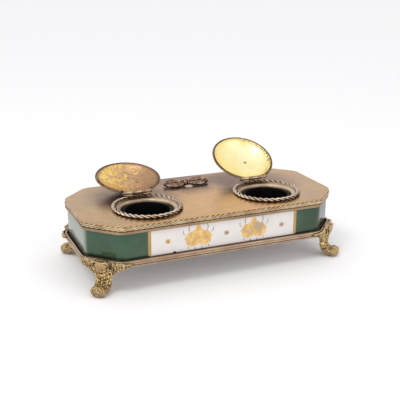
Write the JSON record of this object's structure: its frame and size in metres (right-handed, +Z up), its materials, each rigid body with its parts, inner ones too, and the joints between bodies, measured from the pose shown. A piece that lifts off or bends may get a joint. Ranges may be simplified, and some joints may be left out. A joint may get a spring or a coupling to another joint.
{
  "type": "inkwell",
  "caption": "Long eight-sided desk inkstand of gilt brass and painted porcelain on scroll legs, with drop-in ink cups under hinged domed lids and a bow pen rest.",
  "frame": {"origin": "on the ground, under the middle of the whole inkstand as it stands with both lids open", "axes": "+X along the length, to the right of someone facing the painted panel; +Y from the front to the back; +Z up"},
  "size_m": [0.206, 0.1032, 0.0787],
  "materials": {
    "tan_brass": "satin",
    "bronzed_brass": "satin",
    "red_brass": "satin",
    "cast_gilt": "satin",
    "gilding": "polished",
    "steel": "dull",
    "porcelain": "gloss",
    "ink_cup": "gloss"
  },
  "bodies": {
    "stand": {"top_plate": "tan_brass", "rim_band": "tan_brass", "left_well_sleeve": "tan_brass", "right_well_sleeve": "tan_brass", "rope_rim": "bronzed_brass", "left_collar": "bronzed_brass", "right_collar": "bronzed_brass", "left_hinge_knuckle_left": "bronzed_brass", "left_hinge_knuckle_right": "bronzed_brass", "right_hinge_knuckle_left": "bronzed_brass", "right_hinge_knuckle_right": "bronzed_brass", "pen_rest": "bronzed_brass", "base_rail": "red_brass", "base_plate": "red_brass", "porcelain_body": "porcelain", "left_ink_cup": "ink_cup", "right_ink_cup": "ink_cup", "left_hinge_pin": "steel", "right_hinge_pin": "steel", "pen_rest_screw": "steel", "front_left_leg": "cast_gilt", "front_left_leg_screw": "steel", "front_left_tie_rod": "steel", "front_left_tie_nut": "steel", "front_right_leg": "cast_gilt", "front_right_leg_screw": "steel", "front_right_tie_rod": "steel", "front_right_tie_nut": "steel", "back_left_leg": "cast_gilt", "back_left_leg_screw": "steel", "back_left_tie_rod": "steel", "back_left_tie_nut": "steel", "back_right_leg": "cast_gilt", "back_right_leg_screw": "steel", "back_right_tie_rod": "steel", "back_right_tie_nut": "steel"},
    "left_lid": {"left_lid_dome": "gilding", "left_lid_rim": "bronzed_brass", "left_lid_leaf": "bronzed_brass"},
    "right_lid": {"right_lid_dome": "gilding", "right_lid_rim": "bronzed_brass", "right_lid_leaf": "bronzed_brass"}
  },
  "joints": [
    {"name": "left_lid_hinge", "type": "hinge", "parent": "stand", "child": "left_lid", "pos_m": [-0.0485, 0.00538, 0.055], "axis": [1, 0, 0], "range_deg": [0, 169]},
    {"name": "right_lid_hinge", "type": "hinge", "parent": "stand", "child": "right_lid", "pos_m": [0.0485, 0.00538, 0.055], "axis": [1, 0, 0], "range_deg": [-16.5, 152]}
  ]
}
